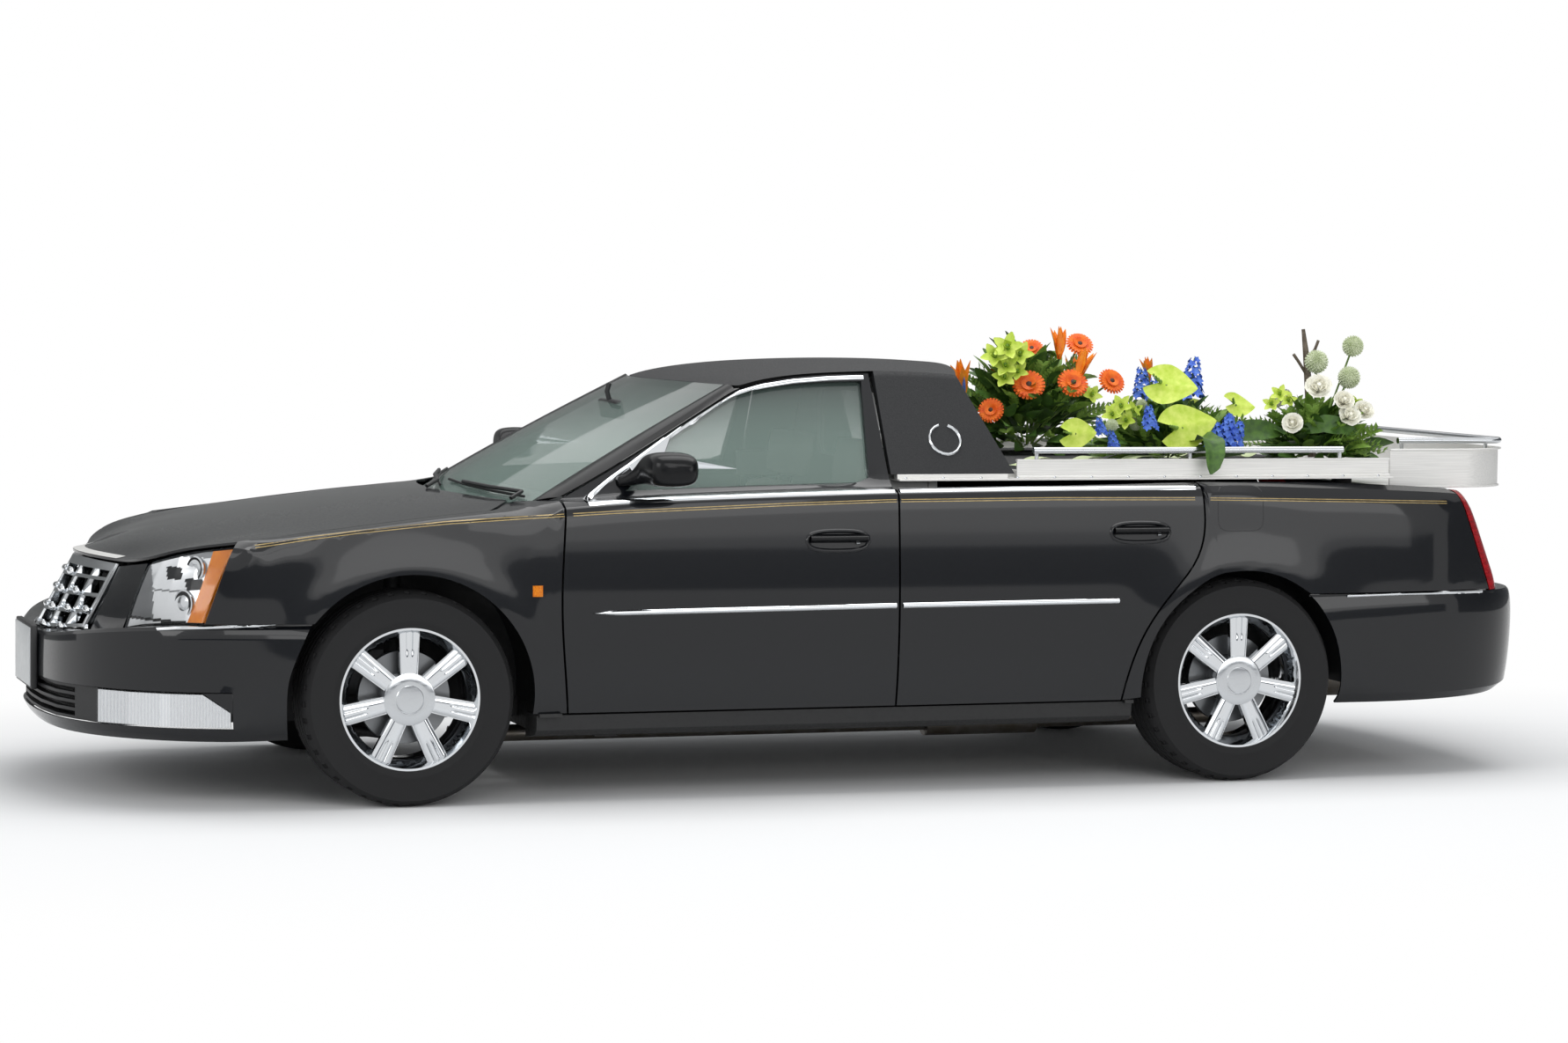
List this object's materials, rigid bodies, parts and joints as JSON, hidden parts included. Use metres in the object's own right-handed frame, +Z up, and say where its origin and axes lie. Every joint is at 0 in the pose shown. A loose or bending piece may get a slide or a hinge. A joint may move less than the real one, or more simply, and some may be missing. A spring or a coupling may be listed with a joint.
{
  "type": "flower car",
  "caption": "Black flower car: vinyl-covered cab, open flower tray behind it, chrome egg-crate grille and spoked chrome wheels; doors, bonnet and boot lid open, front wheels steer.",
  "frame": {"origin": "middle of the car's box on the ground", "axes": "+X to the tail, +Y to the car's right, +Z up"},
  "size_m": [5.273, 2.168, 1.5543],
  "materials": {
    "body_paint": "gloss",
    "chassis_black": "matte",
    "engine_casting": "matte",
    "exhaust_steel": "satin",
    "black_plastic": "matte",
    "chrome_trim": "polished",
    "lamp_clear": "polished",
    "lamp_red": "gloss",
    "tinted_glass": "polished",
    "vinyl_cover": "matte grain",
    "dash_plastic": "matte",
    "seat_leather": "satin",
    "tray_aluminium": "satin",
    "mesh_steel": "satin",
    "rail_chrome": "polished",
    "petals": "matte",
    "wheel_chrome": "polished",
    "tyre_rubber": "matte"
  },
  "bodies": {
    "car_body": {"floor_pan": "chassis_black", "engine": "engine_casting", "front_structure": "chassis_black", "rear_axle": "chassis_black", "exhaust": "exhaust_steel", "wheelhouses": "black_plastic", "fender_left": "body_paint", "fender_right": "body_paint", "quarter_left": "body_paint", "quarter_right": "body_paint", "front_bumper": "body_paint", "rear_bumper": "body_paint", "grille": "chrome_trim", "head_lamps": "lamp_clear", "fog_lamps": "lamp_clear", "tail_lamps": "lamp_red", "cowl": "black_plastic", "glazing": "tinted_glass", "cab_frame": "body_paint", "roof": "vinyl_cover", "bulkhead": "vinyl_cover", "dashboard": "dash_plastic", "seats": "seat_leather", "flower_tray": "tray_aluminium", "deck_mesh": "mesh_steel", "tray_rails": "rail_chrome", "flowers": "petals"},
    "front_door_left_body": {"front_door_left": "body_paint", "door_glass_left": "tinted_glass", "mirror_left": "body_paint"},
    "rear_door_left_body": {"rear_door_left": "body_paint"},
    "steer_left_body": {"knuckle_left": "chassis_black"},
    "front_wheel_left_body": {"rim_front_left": "wheel_chrome", "tyre_front_left": "tyre_rubber"},
    "rear_wheel_left_body": {"rim_rear_left": "wheel_chrome", "tyre_rear_left": "tyre_rubber"},
    "front_door_right_body": {"front_door_right": "body_paint", "door_glass_right": "tinted_glass", "mirror_right": "body_paint"},
    "rear_door_right_body": {"rear_door_right": "body_paint"},
    "steer_right_body": {"knuckle_right": "chassis_black"},
    "front_wheel_right_body": {"rim_front_right": "wheel_chrome", "tyre_front_right": "tyre_rubber"},
    "rear_wheel_right_body": {"rim_rear_right": "wheel_chrome", "tyre_rear_right": "tyre_rubber"},
    "bonnet_body": {"bonnet": "body_paint"},
    "boot_body": {"boot_lid": "body_paint", "tail_tray": "tray_aluminium", "tail_rail": "rail_chrome"}
  },
  "joints": [
    {"name": "steer_left", "type": "hinge", "parent": "car_body", "child": "steer_left_body", "pos_m": [-1.5325, -0.6205, 0.351], "axis": [0, 0, 1], "range_deg": [-35, 35]},
    {"name": "front_wheel_left", "type": "hinge", "parent": "steer_left_body", "child": "front_wheel_left_body", "pos_m": [-1.5325, -0.7875, 0.351], "axis": [0, 1, 0], "continuous": true},
    {"name": "rear_wheel_left", "type": "hinge", "parent": "car_body", "child": "rear_wheel_left_body", "pos_m": [1.4035, -0.7875, 0.351], "axis": [0, 1, 0], "continuous": true},
    {"name": "front_door_left", "type": "hinge", "parent": "car_body", "child": "front_door_left_body", "pos_m": [-0.9675, -0.929, 0.65], "axis": [0, 0, -1], "range_deg": [0, 65]},
    {"name": "rear_door_left", "type": "hinge", "parent": "car_body", "child": "rear_door_left_body", "pos_m": [0.1905, -0.938, 0.65], "axis": [0, 0, -1], "range_deg": [0, 65]},
    {"name": "steer_right", "type": "hinge", "parent": "car_body", "child": "steer_right_body", "pos_m": [-1.5325, 0.6205, 0.351], "axis": [0, 0, 1], "range_deg": [-35, 35]},
    {"name": "front_wheel_right", "type": "hinge", "parent": "steer_right_body", "child": "front_wheel_right_body", "pos_m": [-1.5325, 0.7875, 0.351], "axis": [0, 1, 0], "continuous": true},
    {"name": "rear_wheel_right", "type": "hinge", "parent": "car_body", "child": "rear_wheel_right_body", "pos_m": [1.4035, 0.7875, 0.351], "axis": [0, 1, 0], "continuous": true},
    {"name": "front_door_right", "type": "hinge", "parent": "car_body", "child": "front_door_right_body", "pos_m": [-0.9675, 0.929, 0.65], "axis": [0, 0, 1], "range_deg": [0, 65]},
    {"name": "rear_door_right", "type": "hinge", "parent": "car_body", "child": "rear_door_right_body", "pos_m": [0.1905, 0.938, 0.65], "axis": [0, 0, 1], "range_deg": [0, 65]},
    {"name": "bonnet_lift", "type": "hinge", "parent": "car_body", "child": "bonnet_body", "pos_m": [-1.1275, 0, 0.968], "axis": [0, 1, 0], "range_deg": [0, 50]},
    {"name": "boot_lift", "type": "hinge", "parent": "car_body", "child": "boot_body", "pos_m": [2.0135, 0, 1.165], "axis": [0, -1, 0], "range_deg": [0, 60]}
  ],
  "couplings": [
    {"joint": "steer_right", "follows": "steer_left", "ratio": 1}
  ]
}
